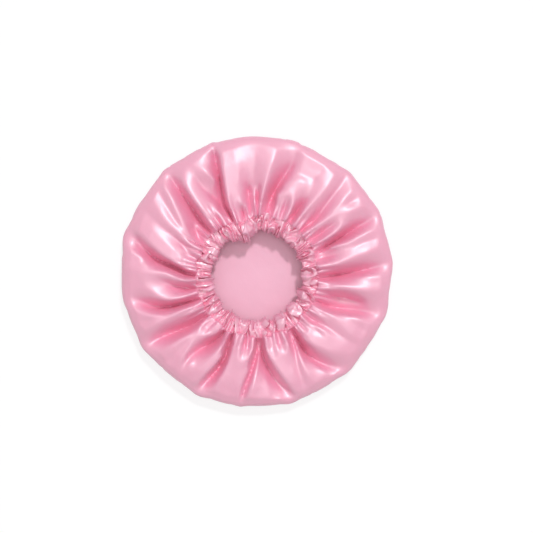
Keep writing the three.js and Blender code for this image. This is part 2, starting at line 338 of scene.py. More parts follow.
@dataclass(frozen=True)
class Cone:
    """The shallow cone that the casing lies on, from its stitched mouth in to the opening's edge.

    Attributes:
        centre: middle of the opening.
        opening_radius: from there to the opening's edge.
        width: width of the casing along the cone.
        mouth_height: height of the stitched mouth.
        drop: how far the opening's edge lies below the mouth.
        lobe_depth: how far the casing bows into the opening at its lobe.
        lobe_turn: where the lobe lies, in turns.
        lobe_spread: how wide the lobe is, in turns.
        lobe_power: how flat its middle is and how steep its flanks are; at 2 it is a bell.
        seam: how far out the stitched mouth runs on its way round.
    """

    centre: tuple[float, float]
    opening_radius: float = 60.5 * MM
    width: float = 19.0 * MM
    mouth_height: float = 29.0 * MM
    drop: float = 4.0 * MM
    lobe_depth: float = 7.0 * MM
    lobe_turn: float = 0.298
    lobe_spread: float = 0.04
    lobe_power: int = 3
    seam: Noise = Noise(51, 9, 26, 0.9 * MM)

    @classmethod
    def from_frame(cls) -> "Cone":
        """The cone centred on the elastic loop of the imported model."""
        low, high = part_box("elastic_band")
        return cls(centre=((low.x + high.x) / 2, (low.y + high.y) / 2))

    @property
    def rise(self) -> float:
        """Height gained for each step outwards along the cone."""
        return self.drop / self.width

    @property
    def run(self) -> float:
        """Radius gained for each step outwards along the cone."""
        return math.sqrt(1 - self.rise**2)

    def lobe(self, turns: Grid) -> Grid:
        """1 at the middle of the lobe and 0 away from it."""
        away = (turns - self.lobe_turn + 0.5) % 1 - 0.5
        return np.exp(-(np.abs(away / self.lobe_spread) ** self.lobe_power))

    def edge(self, turns: Grid) -> Grid:
        """Distance from the opening's middle to its edge."""
        return self.opening_radius - self.lobe_depth * self.lobe(turns)

    def radius(self, inset: Grid, lift: Grid, turns: Grid) -> Grid:
        """Distance from the opening's middle, inset from its edge along the cone and lifted off it."""
        return self.edge(turns) + inset * self.run - lift * self.rise

    def height(self, inset: Grid, lift: Grid) -> Grid:
        """Height of a point inset from the opening's edge along the cone and lifted off it."""
        return self.mouth_height - self.drop + inset * self.rise + lift * self.run

    def place(self, inset: Grid, lift: Grid, turns: Grid) -> Grid:
        """Points at an inset, a lift and a turn, in the bonnet's frame."""
        radius = self.radius(inset, lift, turns)
        x = self.centre[0] + radius * np.cos(FULL_TURN * turns)
        y = self.centre[1] + radius * np.sin(FULL_TURN * turns)
        return np.stack([x, y, np.broadcast_to(self.height(inset, lift), x.shape)], -1)

    def read(self, points: Grid) -> tuple[Grid, Grid, Grid]:
        """Inset, lift and turn of points in the bonnet's frame."""
        x, y = points[..., 0] - self.centre[0], points[..., 1] - self.centre[1]
        turns = np.arctan2(y, x) / FULL_TURN % 1
        out = np.hypot(x, y) - self.edge(turns)
        up = points[..., 2] - (self.mouth_height - self.drop)
        return out * self.run + up * self.rise, up * self.run - out * self.rise, turns


# The folds of the skirt, drawn as strokes seen from above. Each runs along a crest, a valley or
# the foot of a puff: its points are degrees from +X, pixels from the bonnet's middle and height, from
# -1 in the deepest valley to 1 on the highest crest.
FOLD_STROKES = (
    ((4, 129, 0), (2.5, 115, -0.5), (1, 100, -0.9), (0.5, 85, -1), (-1.5, 70, -1), (-3, 62, -1)),
    ((14, 131, 0.4), (12, 122, 0.7), (10.5, 110, 0.9), (10.5, 100, 1), (8.5, 85, 1), (7, 70, 1),
     (8, 62, 0.7)),
    ((20, 130, 0.4), (20.3, 118, 0.7), (20, 105, 0.7), (18.5, 95, 0.8), (20, 85, 0.7), (20.3, 78, 0.3)),
    ((16, 120, 0.35), (16, 108, 0.4), (15, 98, 0.6)), ((15, 83, 0.2), (14.5, 72, -0.4), (14, 62, -0.6)),
    ((25, 129, 0), (24.5, 115, -0.6), (24, 100, -1), (23, 85, -1), (21.8, 70, -1), (20.5, 62, -1)),
    ((32, 129, 0.4), (32, 120, 0.7), (33.5, 110, 0.9), (36, 101, 0.9), (38, 92, 0.9), (39, 80, 0.9),
     (40, 68, 0.9), (41, 61, 0.6)),
    ((41, 131, 0.5), (40.5, 120, 0.7), (40, 108, 0.8), (39.3, 98, 0.85)),
    ((36.5, 121, 0.35), (37, 112, 0.4)),
    ((28, 62, 0.6), (27.5, 72, 0.9), (28, 85, 0.9), (29, 94, 0.8), (31.5, 99, 0.75), (35, 101, 0.8)),
    ((33, 91, 0.2), (33, 80, -0.2), (33, 70, -0.5), (33, 62, -0.7)),
    ((47, 131, 0.1), (46, 118, 0.1), (45.5, 105, 0), (44.5, 92, -0.2), (42.5, 80, -0.5), (44, 70, -0.6),
     (46, 62, -0.6)),
    ((54, 132, 0.5), (52, 127, 0.7), (50.7, 115, 0.9), (50.7, 105, 1), (51.7, 95, 1), (53, 82, 1),
     (53.5, 70, 0.9), (52.5, 62, 0.6)),
    ((56, 130, 0.7), (62, 129, 0.75), (69, 130, 0.7)),
    ((57, 118, 0.4), (62, 117, 0.35), (68, 117, 0.35)),
    ((58, 108, 0.3), (63, 107, 0.25), (68, 107, 0.2)),
    ((56, 91, 0.3), (58.5, 97, 0.45), (62, 100, 0.55), (66, 100, 0.55), (70, 97, 0.45), (73, 91, 0.3)),
    ((62, 64, 0.5), (62.5, 75, 0.7), (64.5, 83, 0.7), (68, 87, 0.7), (72, 86, 0.6), (75.5, 81, 0.5)),
    ((67.5, 79, 0.1), (67.5, 70, -0.4), (67, 62, -0.5)), ((71.5, 79, 0.4), (71.5, 66, 0.3)),
    ((57, 87, -0.2), (57.5, 78, -0.6), (58.5, 70, -0.8), (60, 63, -0.8)),
    ((72, 129, 0.3), (71.5, 118, -0.1), (72, 110, -0.5), (74, 100, -0.8), (77, 88, -1), (79.5, 77, -1),
     (82, 64, -1)),
    ((86, 132, 0.6), (81.5, 125, 0.7), (80.7, 115, 0.8), (83, 102, 1), (84.5, 90, 1), (86, 78, 0.9),
     (87.5, 68, 0.7), (87, 61, 0.4)),
    ((90, 125, 0.5), (90.5, 115, 0.4), (91, 104, 0.3), (91.5, 96, 0.1)),
    ((92, 90, -0.1), (92, 80, 0.1), (92, 70, 0.3), (91.5, 62, 0.3)),
    ((88.8, 84, -0.4), (89.3, 74, -0.4)), ((95.5, 88, -0.5), (96.5, 76, -0.5), (96.5, 66, -0.6)),
    ((107, 131, 0.6), (106.8, 122, 0.75), (107.8, 112, 0.8), (109, 100, 0.85), (111, 83, 0.9),
     (112, 75, 0.7)),
    ((101, 122, 0.7), (100, 108, 0.65), (100.5, 94, 0.6)),
    ((108.7, 131, 0.1), (109, 122, -0.5), (110, 112, -0.9), (111.5, 100, -1), (113.3, 84, -1),
     (114.3, 70, -1), (114.5, 62, -1)),
    ((98.5, 71, 0.2), (101, 76, 0.5), (105, 78, 0.5), (109, 77, 0.5), (111.5, 70, 0.5),
     (110.5, 62, 0.3)),
    ((102.5, 70, -0.9), (103, 62, -1)),
    ((121.5, 130, 0.6), (121, 123, 0.7), (118.5, 117, 0.7), (116, 110, 0.6), (113.8, 101, 0.2)),
    ((113, 127, 0.3), (112.5, 118, 0.1)), ((110.5, 131, 0.45), (116, 130, 0.5)),
    ((124, 121, 0.6), (127, 119, 0.7), (129, 110, 0.9), (129.8, 97, 1), (130, 82, 1), (131, 68, 0.9),
     (132, 61, 0.7)),
    ((122.5, 113, 0.3), (122, 105, 0), (121, 95, -0.2), (119, 87, -0.5)),
    ((118.5, 72, -0.2), (121, 80, 0.1), (124, 85, 0.3), (127, 87, 0.6)),
    ((116.5, 79, -0.8), (120, 76, -0.3)),
    ((113.8, 60, 0), (116, 67, 0.2), (119.5, 71, 0.2), (123.5, 74, 0.4), (127, 75, 0.7)),
    ((121, 66, -0.2), (125, 68, 0)),
    ((131.5, 131, 0.1), (132, 122, -0.4), (133, 110, -0.7), (133.7, 98, -0.8), (134.5, 88, -0.9),
     (136, 78, -1), (137.5, 66, -1)),
    ((136.5, 131, 0.5), (137, 122, 0.7), (138.5, 111, 0.8), (141.5, 100, 0.8), (145.5, 88, 0.7),
     (149, 78, 0.5), (152, 70, 0.2)),
    ((140, 124, 0.4), (142.5, 112, 0.35), (145, 101, 0.4), (147.8, 92, 0.5)),
    ((141, 131, 0.6), (145, 125, 0.8), (147.5, 112, 0.9), (149.5, 102, 1), (151, 92, 1), (152, 82, 0.9),
     (154.5, 73, 0.9), (159, 64, 0.7)),
    ((140.5, 80, -0.4), (145, 74, -0.6), (149.5, 65, -0.7)), ((140.3, 68, 0.3), (140.3, 62, 0.3)),
    ((151, 128, 0.4), (152, 115, 0.5), (154, 103, 0.5), (155, 93, 0.4), (157, 83, 0.2), (160.5, 74, 0),
     (164, 65, -0.2)),
    ((156.5, 118, 0.6), (158, 108, 0.8), (160.5, 97, 0.95), (164, 87, 1), (166.5, 77, 1),
     (168, 67, 0.9), (169, 61, 0.7)),
    ((159.5, 129, 0.5), (161, 118, 0.8), (164, 107, 0.95), (167, 97, 1), (169.5, 87, 1), (172, 78, 1),
     (175.5, 68, 0.8)),
    ((162, 129, 0.1), (166, 117, -0.5), (170, 106, -0.9), (172.7, 97, -1), (173, 88, -1),
     (175.5, 78, -1), (178.5, 70, -1), (181, 62, -1)),
    ((170.5, 130, 0.5), (171, 122, 0.5), (172.5, 113, 0.4)), ((175, 120, 0.5), (175.5, 108, 0.5)),
    ((176, 131, 0.6), (179, 123, 0.9), (180, 112, 1), (179, 101, 1), (178.5, 93, 1), (181, 83, 1),
     (184, 72, 1), (187, 63, 0.7)),
    ((183.5, 94, 0.3), (187, 84, -0.3), (189, 76, -0.6), (191, 67, -0.8), (191.5, 61, -0.8)),
    ((186, 112, 0.6), (189, 104, 0.7), (192.5, 99.5, 0.8), (196, 92, 0.8), (197, 80, 0.8),
     (196.5, 70, 0.7), (195.5, 62, 0.4)),
    ((190.5, 127, 0.3), (193, 118, -0.2), (197.5, 108, -0.8), (200.3, 98, -1), (201, 86, -1),
     (201.5, 75, -1), (203, 63, -1)),
    ((196, 131, 0.6), (198.5, 122, 0.7), (201.5, 113, 0.8), (204, 103, 0.9)),
    ((203, 124, 0.5), (204, 114, 0.6)),
    ((208, 131, 0.6), (207, 121, 0.9), (206.5, 110, 1), (206, 95, 1), (205.5, 82, 1), (206.5, 72, 1),
     (209.5, 63, 0.8)),
    ((214, 129, 0), (213.5, 118, -0.5), (214.5, 106, -0.9), (216.3, 95, -1), (217.8, 84, -1),
     (218.8, 73, -1), (219.3, 62, -1)),
    ((222, 132, 0.6), (221.5, 122, 0.9), (220.7, 110, 0.9), (221, 98, 0.9), (222.5, 89, 0.8)),
    ((225.5, 124, 0.5), (225, 110, 0.55), (225, 98, 0.6)),
    ((232, 128, 0.7), (230, 121, 0.85), (229, 110, 0.9), (228, 100, 0.9), (226.5, 91, 0.8)),
    ((234.5, 121, 0.75), (234, 110, 0.7)), ((231.8, 114, 0.4), (230.7, 104, 0)),
    ((230.7, 104, 0), (232.5, 94, -0.6), (235.5, 84, -0.9), (238.3, 74, -1), (240.3, 62, -1)),
    ((220.8, 66, 0.4), (221.5, 75, 0.6), (224, 80, 0.7), (227.5, 82, 0.8), (231, 77, 0.6),
     (235, 70, 0.4), (237.3, 64, 0.2)),
    ((225, 73, 0.1), (225, 63, -0.4)), ((230.5, 68, 0.4), (231, 62, 0.3)),
    ((237.5, 130, 0.4), (238, 118, 0.7), (239.5, 106, 0.9), (241.5, 95, 1), (243.5, 84, 1),
     (244, 74, 0.9), (243, 63, 0.7)),
    ((240.5, 128, 0.6), (241.7, 118, 0.8), (243.3, 106, 0.9), (245.3, 95, 1), (246.5, 87, 0.8)),
    ((243, 130, 0.1), (245, 118, -0.5), (247, 108, -0.8), (248.6, 97, -1), (249, 87, -1),
     (248.5, 76, -0.9), (247, 66, -1), (246.7, 61, -0.9)),
    ((250, 131, 0.5), (250.5, 120, 0.6), (251.2, 108, 0.6), (252, 95, 0.6), (252, 82, 0.6),
     (252.3, 70, 0.6), (251.8, 62, 0.4)),
    ((257, 122, 0.4), (257, 108, 0.5)),
    ((254.5, 64, 0.8), (255.5, 76, 0.9), (257.5, 85, 0.9), (260, 89, 0.9), (263, 85, 0.8),
     (266, 76, 0.8), (268, 70, 0.6), (266.5, 63, 0.3)),
    ((261, 77, 0.2), (260, 68, -0.3), (260.5, 62, -0.5)),
    ((261.5, 128, 0.5), (262, 116, 0.6), (263, 105, 0.6), (265, 95, 0.6)),
    ((263.5, 131, 0.2), (263.7, 120, -0.1), (264.7, 108, -0.3), (266.6, 96, -0.5), (268.3, 85, -0.7),
     (269.7, 74, -1), (269.5, 64, -1)),
    ((267, 131, 0.8), (274, 131, 0.75), (281, 131, 0.6)),
    ((266.5, 126, 0.95), (267, 118, 0.9), (268, 108, 0.65), (269.3, 98, 0.3), (270.6, 88, -0.2),
     (271.5, 78, -0.6)),
    ((276, 122, 0.55), (275.5, 113, 0.25), (275, 104, -0.05), (274, 94, -0.4)),
    ((287.5, 130, 0.2), (286, 124, -0.1), (282.8, 114, -0.5), (279.3, 103, -0.8), (276.8, 93, -0.9),
     (274.8, 83, -0.9), (273.5, 74, -1), (273, 63, -1)),
    ((289.5, 131, 0.6), (288.7, 124, 0.8), (286.8, 112, 0.95), (284, 100, 1), (281, 88, 0.9),
     (278, 78, 0.7), (276.5, 70, 0.4)),
    ((281.5, 63, 0.5), (283, 72, 0.7), (285, 80, 0.8), (288.5, 84, 0.8), (292, 81, 0.8),
     (294.5, 74, 0.8), (295.5, 64, 0.5)),
    ((288, 73, 0.1), (288, 63, -0.4)), ((291, 118, 0.6), (290.5, 104, 0.7), (290, 94, 0.6)),
    ((293, 118, 0.4), (293.5, 105, 0.3), (294.5, 95, 0.2), (296.5, 84, -0.2), (298, 74, -0.6),
     (300, 64, -0.8)),
    ((299, 131, 0.8), (308, 131, 0.7)),
    ((298, 124, 0.95), (297, 113, 0.85), (297, 101, 0.7), (297.7, 91, 0.4), (299, 81, 0),
     (300.7, 72, -0.5)),
    ((304.5, 120, 0.5), (302.5, 109, 0.2), (301, 99, 0)),
    ((314.5, 131, 0.2), (311.5, 124, 0), (307.5, 115, -0.4), (303.8, 103, -0.7), (301.7, 92, -0.9),
     (301.7, 83, -1), (303, 72, -1), (304.3, 62, -1)),
    ((319.5, 131, 0.5), (319.3, 122, 0.8), (316.8, 112, 0.95), (312.8, 100, 1), (309, 88, 0.9),
     (306.7, 78, 0.7)),
    ((307, 65, 0.5), (308.3, 73, 0.8), (311.5, 76, 0.8), (314.5, 73, 0.8), (316, 63, 0.5)),
    ((312, 69, 0), (312, 62, -0.4)),
    ((314.5, 86, 0.8), (316, 95, 0.95), (318.5, 97, 0.95), (320, 88, 0.9), (319.3, 79, 0.7)),
    ((317, 87, 0.55), (317, 80, 0.4)),
    ((324, 122, 0.6), (323.5, 110, 0.5), (323.5, 98, 0.4), (323.5, 86, 0.3), (321.5, 75, 0),
     (319, 66, -0.5)),
    ((329.5, 131, 0.6), (327.5, 122, 0.9), (327.5, 113, 1), (329, 103, 1), (331, 93, 1), (331.5, 82, 1),
     (331, 72, 1), (329, 63, 0.8)),
    ((334.5, 130, 0.6), (335.5, 120, 0.7), (336, 108, 0.7), (335, 97, 0.5), (333.8, 87, 0.4)),
    ((331.5, 120, 0.5), (332.5, 107, 0.55)),
    ((341, 130, 0.1), (341, 118, -0.3), (339.5, 105, -0.8), (337.5, 92, -1), (336, 80, -1),
     (336.5, 68, -1), (337, 62, -1)),
    ((344.5, 107, -0.5), (345.5, 91, -0.9), (344.5, 81, -0.8)), ((340.7, 69, -0.2), (341, 62, -0.3)),
    ((347, 128, 0.3), (348, 112, 0.4), (348.5, 96, 0.3), (348.3, 84, 0.2)),
    ((354, 131, 0.6), (351.7, 121, 0.9), (351.3, 108, 1), (351.7, 96, 1), (352.5, 86, 1), (351, 75, 1),
     (349.5, 65, 0.8)),
    ((356.5, 130, 0.6), (358.3, 120, 0.55), (358.5, 109, 0.5), (357.3, 99, 0.3)),
    ((355, 118, 0.6), (355, 106, 0.6)),
)


@dataclass(frozen=True)
class FoldMap:
    """The skirt's folds between the rim and the casing, as a map of heights from -1 to 1.

    Attributes:
        pixel: size of the strokes' pixels.
        reach: radius of the map's inner and outer edge, in pixels.
        degree_steps: steps of the map to a degree.
        radius_step: distance of the map's circles, in pixels.
        outermost: how many rows short of the number of circles the map is still read.
        stroke_points: points that a stroke is drawn with.
        stroke_rounding: how often its kinks are rounded off.
        filling: how often the cloth between the strokes is evened.
        rounding: how often the filled map is smoothed.
        valley_power: how narrow the valleys are; at 1 they are as wide as the crests.
        flattening: share of the folds, near the rim, that is as flat in its valleys as on its crests.
        flattening_reach: circles over which that sets in, in pixels.
        valley_depth: how much deeper the valleys are than the crests are high.
        ridge: circle of the ridge that the puffs have near the rim, in pixels.
        ridge_wander: how far out it runs on its way round, in pixels.
        ridge_width: its half width, in pixels.
        ridge_height: how much higher a crest is on it.
        heights: the map, circles by degrees, from the inner circle outwards.
    """

    pixel: float
    reach: Reach = (60.0, 134.0)
    degree_steps: int = 2
    radius_step: float = 1.5
    outermost: float = 1.001
    stroke_points: int = 160
    stroke_rounding: int = 120
    filling: int = 600
    rounding: int = 3
    valley_power: float = 1.5
    flattening: float = 0.35
    flattening_reach: Reach = (88.0, 115.0)
    valley_depth: float = 1.25
    ridge: float = 127.0
    ridge_wander: Noise = Noise(71, 3, 13, 3.0)
    ridge_width: float = 6.0
    ridge_height: float = 0.12
    heights: Grid = field(init=False)

    def __post_init__(self) -> None:
        """Draws the strokes into the map and fills the cloth between them."""
        circles = int(round((self.reach[1] - self.reach[0]) / self.radius_step)) + 1
        across = 360 * self.degree_steps
        total, count = np.zeros((2, circles, across))
        fine = np.linspace(0, 1, self.stroke_points)
        for stroke in FOLD_STROKES:
            knots = np.linspace(0, 1, len(stroke))
            degrees, radii, heights = (np.interp(fine, knots, line) for line in np.array(stroke, float).T)
            row = (self._curved(radii) - self.reach[0]) / self.radius_step
            row = np.clip(np.round(row).astype(int), 0, circles - 1)
            column = np.round(self._curved(degrees) * self.degree_steps).astype(int) % across
            np.add.at(total, (row, column), heights)
            np.add.at(count, (row, column), 1)
        drawn = count > 0
        values = total / np.maximum(count, 1)
        filled = np.where(drawn, values, values.sum() / drawn.sum())
        for _ in range(self.filling):
            filled = np.where(drawn, values, self._evened(filled))
        for _ in range(self.rounding):
            filled = (filled + self._evened(filled)) / 2
        object.__setattr__(self, "heights", filled)

    def _curved(self, line: Grid) -> Grid:
        """A line through the points of a stroke with its kinks rounded off, its ends where they were."""
        for _ in range(self.stroke_rounding):
            line = np.concatenate([line[:1], (line[:-2] + 2 * line[1:-1] + line[2:]) / 4, line[-1:]])
        return line

    @staticmethod
    def _evened(heights: Grid) -> Grid:
        """Each height as the mean of its four neighbours, round the circles and across them."""
        ends = np.concatenate([heights[:1], heights, heights[-1:]])
        sides = np.roll(heights, 1, axis=1) + np.roll(heights, -1, axis=1)
        return (sides + ends[:-2] + ends[2:]) / 4

    def height(self, degrees: Grid, radius: float) -> Grid:
        """Height of the folds at each degree round the circle of that radius."""
        circle = radius / self.pixel
        row = (circle - self.reach[0]) / self.radius_step
        row = min(max(row, 0.0), len(self.heights) - self.outermost)
        low = int(row)
        ring = self.heights[low] * (1 - (row - low)) + self.heights[low + 1] * (row - low)
        depth = np.clip((1 - ring) / 2, 0, 1)
        flat = self.flattening * ramp(circle, *self.flattening_reach)
        ring = 1 - 2 * ((1 - flat) * depth**self.valley_power + flat * eased(depth))
        ring = np.where(ring < 0, self.valley_depth * ring, ring)
        ring = np.interp(degrees * self.degree_steps, np.arange(len(ring) + 1), np.append(ring, ring[0]))
        middle = self.ridge + self.ridge_wander.at(degrees / 360)
        near = np.exp(-(((circle - middle) / self.ridge_width) ** 2))
        return ring + self.ridge_height * near * (1 + ring) / 2


@dataclass(frozen=True)
class Puckers:
    """The short slanting creases in the rim's side.

    A crease lies where a smooth wave passes through zero, and its depth follows a slower wave.

    Attributes:
        depth: depth of a crease.
        depth_share: share of it that a crease has on the whole.
        depth_change: how much more or less of it one has.
        depth_limit: the most of it.
        crease_wave: the wave whose zeros are the creases.
        sharpness: how narrow they are.
        slant: how far a crease leans from the rim's foot to its widest place, in turns.
        slant_change: how much more or less one leans, as a share of that.
        foot: rows above the rim's foot from which they set in.
        full: how far below the widest place they are full, as a share of the way down.
        end_reach: rows above the widest place over which they fade out.
    """

    depth: float = 2.4 * MM
    depth_share: float = 0.7
    depth_change: Noise = Noise(63, 4, 12, 0.5)
    depth_limit: float = 1.5
    crease_wave: Noise = Noise(61, 9, 34)
    sharpness: float = 1.6
    slant: float = 0.02
    slant_change: Noise = Noise(62, 3, 9, 0.4)
    foot: int = 2
    full: float = 0.4
    end_reach: Reach = (-1, 5)

    def drawn_in(self, turns: Grid, above: Grid, side: int) -> Grid:
        """How far the rim's side is drawn in.

        Args:
            turns: places round the bonnet.
            above: how many rows each row lies above the widest one, as a column.
            side: how many rows lie below that.
        """
        leant = turns + self.slant * above / side * (1 + self.slant_change.at(turns))
        crease = np.clip(1 - self.sharpness * np.abs(self.crease_wave.at(leant)), 0, 1)
        strength = self.depth_share + self.depth_change.at(leant)
        shown = ramp(above, self.foot - side, -self.full * side) * (1 - ramp(above, *self.end_reach))
        return self.depth * crease * np.clip(strength, 0, self.depth_limit) * shown


@dataclass(frozen=True)
class SatinShell:
    """The one circle of satin: flat crown, rolled rim and gathered skirt.

    Attributes:
        cone: what the skirt's edge is sewn to.
        centre: middle of the crown.
        gathers: the small gathers at the seam.
        folds: the large folds of the skirt.
        puckers: the creases in the rim's side.
        cut_radius: radius of the cut circle.
        seam_radius: radius of the stitched line in the flat cloth.
        thickness: thickness of the satin.
        lie_radius: how far the crown lies still.
        lie_height: height of the cloth's middle where it lies on the table.
        crown_rings: rings of points in the crown's still part.
        crown_wave: where it lifts off the table a little.
        crown_lift: how far it does.
        roll_radius: where the rim starts to roll up.
        roll_foot: how far short of that the crown's flat part ends.
        roll_reach: how far the roll reaches out.
        roll_height: half the height of the roll.
        rim_fullness: how full the upper half of the roll is; at 1 it is an ellipse, lower is squarer.
        brow_radius: where the skirt turns down to the casing.
        brow_height: height of the skirt there.
        section_points: points that the section is drawn with, over the roll and from there on.
        section_rounding: how often the section is smoothed.
        seam_inset: where the skirt's edge is stitched, from the opening's edge.
        tuck_inset: where its cut edge ends, between the leaves of the casing.
        tuck_rows: rows of points from the one to the other.
        tuck_flattening: share of the gathers' height that is gone at the cut edge.
        flush: how far the skirt stands over the cone at the seam, level with the casing's leaf.
        ripple: height of an even gather at the seam.
        ripple_reach: shares of the skirt over which the gathers set in.
        overhang: how far a gather bulges over the casing.
        bulge: share of that on the level, and how much a fold's and a gather's height add to it.
        bulge_limit: the most of it.
        bulge_lift: how far a bulge stands up, as a share of how far it reaches in.
        bulge_reach: shares of the skirt over which the bulge sets in.
        bulge_end: shares of the skirt over which it fades out again.
        fold_sizes: radii, and half the height of the folds at each of them, in millimetres.
        fold_start: row of the rim's side from which the folds set in.
        fold_level: height of the fold map that lies on the section, at the rim.
        level_reach: radii over which that sets in.
        corner: how far the rim stands out where a valley ends, and back between two.
        corner_reach: radii over which the folds turn from the section's slope into that.
        columns: points round the bonnet.
        rows: points from the crown's still part to the seam.
    """

    cone: Cone
    centre: tuple[float, float]
    gathers: Gathers
    folds: FoldMap
    puckers: Puckers = Puckers()
    cut_radius: float = 305 * MM
    seam_radius: float = 291 * MM
    thickness: float = 0.35 * MM
    lie_radius: float = 150 * MM
    lie_height: float = 0.4 * MM
    crown_rings: int = 9
    crown_wave: Noise = Noise(5, 1, 4)
    crown_lift: float = 0.2 * MM
    roll_radius: float = 160 * MM
    roll_foot: float = 4 * MM
    roll_reach: float = 16.9 * MM
    roll_height: float = 13.5 * MM
    rim_fullness: float = 0.52
    brow_radius: float = 92 * MM
    brow_height: float = 26.5 * MM
    section_points: tuple[int, int] = (90, 40)
    section_rounding: int = 6
    seam_inset: float = 19.05 * MM
    tuck_inset: float = 16.3 * MM
    tuck_rows: int = 3
    tuck_flattening: float = 0.6
    flush: float = 0.8 * MM
    ripple: float = 3.8 * MM
    ripple_reach: Reach = (0.66, 0.96)
    overhang: float = 4.8 * MM
    bulge: tuple[float, float, float] = (0.3, 0.6, 0.4)
    bulge_limit: float = 1.4
    bulge_lift: float = 0.8
    bulge_reach: Reach = (0.84, 0.95)
    bulge_end: Reach = (0.97, 1.0)
    fold_sizes: tuple[Reach, ...] = (
        (79.5, 0), (83, 5), (90, 11), (98, 14), (110, 15), (135, 13), (157, 10.5), (168, 8.5), (176, 6),
    )
    fold_start: int = 3
    fold_level: float = 0.5
    level_reach: Reach = (140 * MM, 174 * MM)
    corner: float = 5.5 * MM
    corner_reach: Reach = (156 * MM, 171 * MM)
    columns: int = 520
    rows: int = 80

    def _turns(self) -> Grid:
        """Places of the columns round the bonnet."""
        return np.arange(self.columns) / self.columns

    def _section(self) -> tuple[Grid, Grid]:
        """The section of the bonnet that the folds rise and fall about.

        It is flat to the roll, then half an ellipse with a fuller upper half, then nearly level to
        the brow, from which it runs gently on to the casing's mouth.

        Returns:
            Radius and height of each row, evenly spaced along the section.
        """
        roll_points, skirt_points = self.section_points
        half = np.linspace(-math.pi / 2, math.pi / 2, roll_points)
        full = np.where(half > 0, self.rim_fullness, 1)
        out = np.abs(np.cos(half)) ** full
        up = np.sign(half) * np.abs(np.sin(half)) ** full
        mouth = self.cone.radius(self.seam_inset, 0, self.cone.lobe_turn + 0.5)
        mouth_height = self.cone.height(self.seam_inset, self.flush)
        falling = eased(np.linspace(0, 1, skirt_points))
        radii = np.concatenate([
            [self.lie_radius, self.roll_radius - self.roll_foot],
            self.roll_radius + self.roll_reach * out,
            np.linspace(self.brow_radius, mouth, skirt_points),
        ])
        heights = np.concatenate([
            [self.lie_height] * 2,
            self.lie_height + self.roll_height + self.roll_height * up,
            self.brow_height + (mouth_height - self.brow_height) * falling,
        ])
        radii, heights = evenly(self.rows, radii, heights)
        for line in (radii, heights):
            for _ in range(self.section_rounding):
                line[1:-1] += (line[:-2] + line[2:] - 2 * line[1:-1]) / 4
        return radii, heights

    def _bulge(self, shares: Grid, fold: Grid, ruffle: Grid) -> Grid:
        """How far the skirt bulges over the casing.

        Args:
            shares: how far along the skirt each row lies, as a column.
            fold: height of the folds at the seam.
            ruffle: height of the gathers there.
        """
        level, by_fold, by_gather = self.bulge
        lip = np.clip(level + by_fold * fold + by_gather * ruffle, 0, self.bulge_limit)
        return self.overhang * lip * ramp(shares, *self.bulge_reach) * (1 - ramp(shares, *self.bulge_end))

    def skirt(self) -> Grid:
        """The skirt, from the still crown over the rim to the stitched line.

        The fold map's heights are laid off square to the section. Below the rim's widest place the
        folds fade, and at the casing they give way to the small gathers.
        """
        radii, heights = (line[:, None] for line in self._section())
        widest = int(np.argmax(radii))
        turns, rows = self._turns(), np.arange(self.rows)[:, None]
        shares = np.clip((rows - widest) / (self.rows - 1 - widest), 0, 1)
        mapped = np.where(rows < widest, radii[widest], radii)[:, 0]
        folds = np.stack([self.folds.height(turns * 360, radius) for radius in mapped])
        ruffle = self.gathers.ruffle(turns)

        started = np.where(rows < widest, ramp(rows, self.fold_start, widest), 1)
        sizes = np.interp(radii, *(np.array(self.fold_sizes) * MM).T) * started
        rise = (folds - self.fold_level * ramp(radii, *self.level_reach)) * sizes
        slope = unit(np.stack([np.gradient(heights, axis=0), -np.gradient(radii, axis=0)], -1))
        cornered = ramp(radii, *self.corner_reach)
        bulge = self._bulge(shares, folds[-1], ruffle)
        mouth = self.cone.radius(self.seam_inset, 0, turns) + self.cone.seam.at(turns)
        plan = radii + (mouth - mouth.max()) * shares**2 - bulge
        plan += rise * slope[..., 0] * (1 - cornered) - self.corner * folds * cornered * started
        plan -= self.puckers.drawn_in(turns, rows - widest, widest)
        level = heights + rise * slope[..., 1] + self.bulge_lift * bulge
        level += self.ripple * ruffle * ramp(shares, *self.ripple_reach)

        crown, opening = np.array(self.centre), np.array(self.cone.centre)
        middles = crown + (opening - crown) * shares
        return smoothed(np.stack([
            middles[:, :1] + plan * np.cos(FULL_TURN * turns),
            middles[:, 1:] + plan * np.sin(FULL_TURN * turns),
            np.maximum(level, self.lie_height),
        ], -1))

    def crown(self, edge: Grid) -> Grid:
        """The crown: rings from the middle out to the skirt's first row, lying nearly flat.

        It lifts off the table in shallow waves of a few tenths of a millimetre.
        """
        shares = np.linspace(0, 1, self.crown_rings + 1)[:-1, None]
        middle = np.array([*self.centre, self.lie_height])
        grid = middle + (edge - middle) * shares[..., None]
        grid[..., 2] += self.crown_lift * self.crown_wave.at(self._turns())**2 * np.sin(np.pi * shares)**2
        return grid

    def tuck(self, edge: Grid) -> Grid:
        """The skirt's gathered edge, which runs from the stitched line in between the leaves."""
        inset, lift, turns = self.cone.read(edge)
        shares = np.linspace(0, 1, self.tuck_rows)[:, None]
        inner = inset + (self.tuck_inset - inset) * shares
        return self.cone.place(
            inner, (lift - self.flush) * (1 - self.tuck_flattening * shares**2), turns
        )

